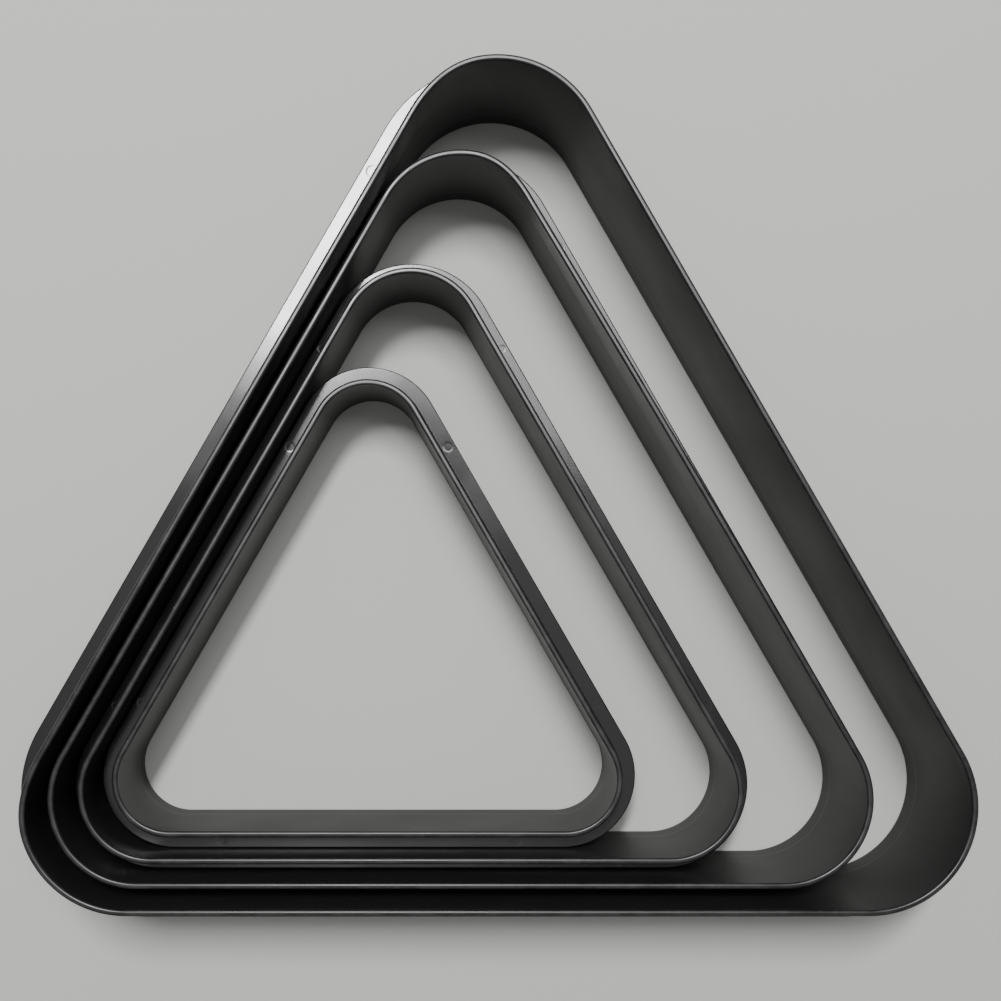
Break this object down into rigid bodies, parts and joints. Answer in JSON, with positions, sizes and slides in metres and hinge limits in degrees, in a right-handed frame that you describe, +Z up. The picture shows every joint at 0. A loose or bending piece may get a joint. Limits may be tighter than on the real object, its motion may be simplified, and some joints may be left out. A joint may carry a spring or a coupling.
{
  "type": "billiard ball rack set",
  "caption": "Nested triangle racks for billiard balls, in falling sizes: rounded triangular bands of black plastic, each with a narrow flange round its outside.",
  "frame": {"origin": "on the resting plane, under the centre of the largest rack's outline", "axes": "+Z up out of the racks; +X along the bottom sides of the triangles; +Y from the bottom sides towards the apexes"},
  "size_m": [0.3104, 0.2798, 0.05],
  "materials": {
    "black_plastic": "satin black moulded plastic"
  },
  "bodies": {
    "largest_rack": {"largest_rack": "black_plastic"},
    "second_rack": {"second_rack": "black_plastic"},
    "third_rack": {"third_rack": "black_plastic"},
    "smallest_rack": {"smallest_rack": "black_plastic"}
  },
  "joints": [
    {"name": "second_rack_lift", "type": "slide", "parent": "largest_rack", "child": "second_rack", "axis": [0, 0, 1], "range_m": [0, 0.06]},
    {"name": "third_rack_lift", "type": "slide", "parent": "largest_rack", "child": "third_rack", "axis": [0, 0, 1], "range_m": [0, 0.11]},
    {"name": "smallest_rack_lift", "type": "slide", "parent": "largest_rack", "child": "smallest_rack", "axis": [0, 0, 1], "range_m": [0, 0.155]}
  ]
}
